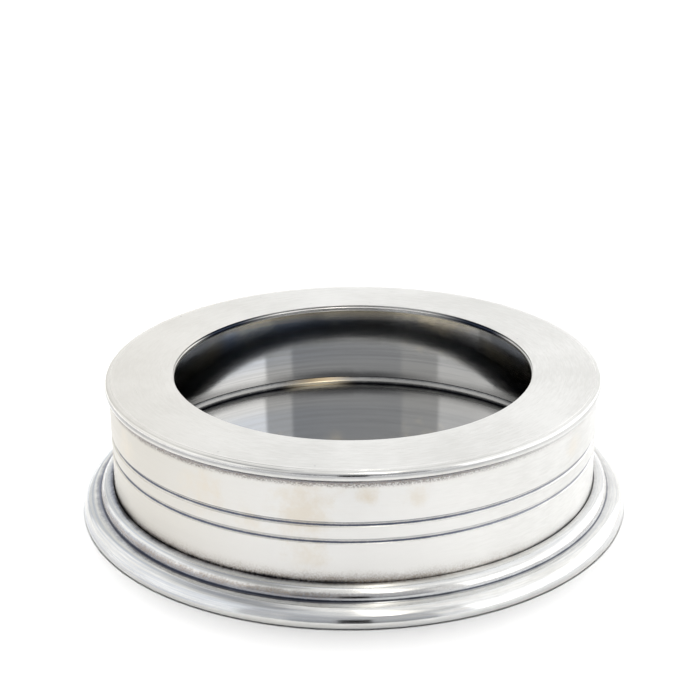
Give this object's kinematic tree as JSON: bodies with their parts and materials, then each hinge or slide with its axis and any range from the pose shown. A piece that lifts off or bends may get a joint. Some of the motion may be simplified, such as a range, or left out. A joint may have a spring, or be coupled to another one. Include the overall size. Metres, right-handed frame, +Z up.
{
  "type": "wine bottle coaster",
  "caption": "Low round pewter bottle coaster: flat rim plate with a round opening over a deep well, plain wall with incised grooves, moulded foot ring, flat floor and felt base pad.",
  "frame": {"origin": "centre of the underside, on the plane of the table that the coaster stands on", "axes": "+Z up along the coaster's axis; +Y away from the viewer of the picture, +X to the right"},
  "size_m": [0.1388, 0.1388, 0.035],
  "materials": {
    "pewter": "satin pewter with fine turning lines and dark patina in the crevices",
    "polished_pewter": "polished pewter",
    "felt": "dark wool felt"
  },
  "bodies": {
    "root": {"rim_plate": "pewter", "body_band": "pewter", "foot_ring": "pewter", "floor_disc": "polished_pewter", "base_felt": "felt"}
  },
  "joints": []
}
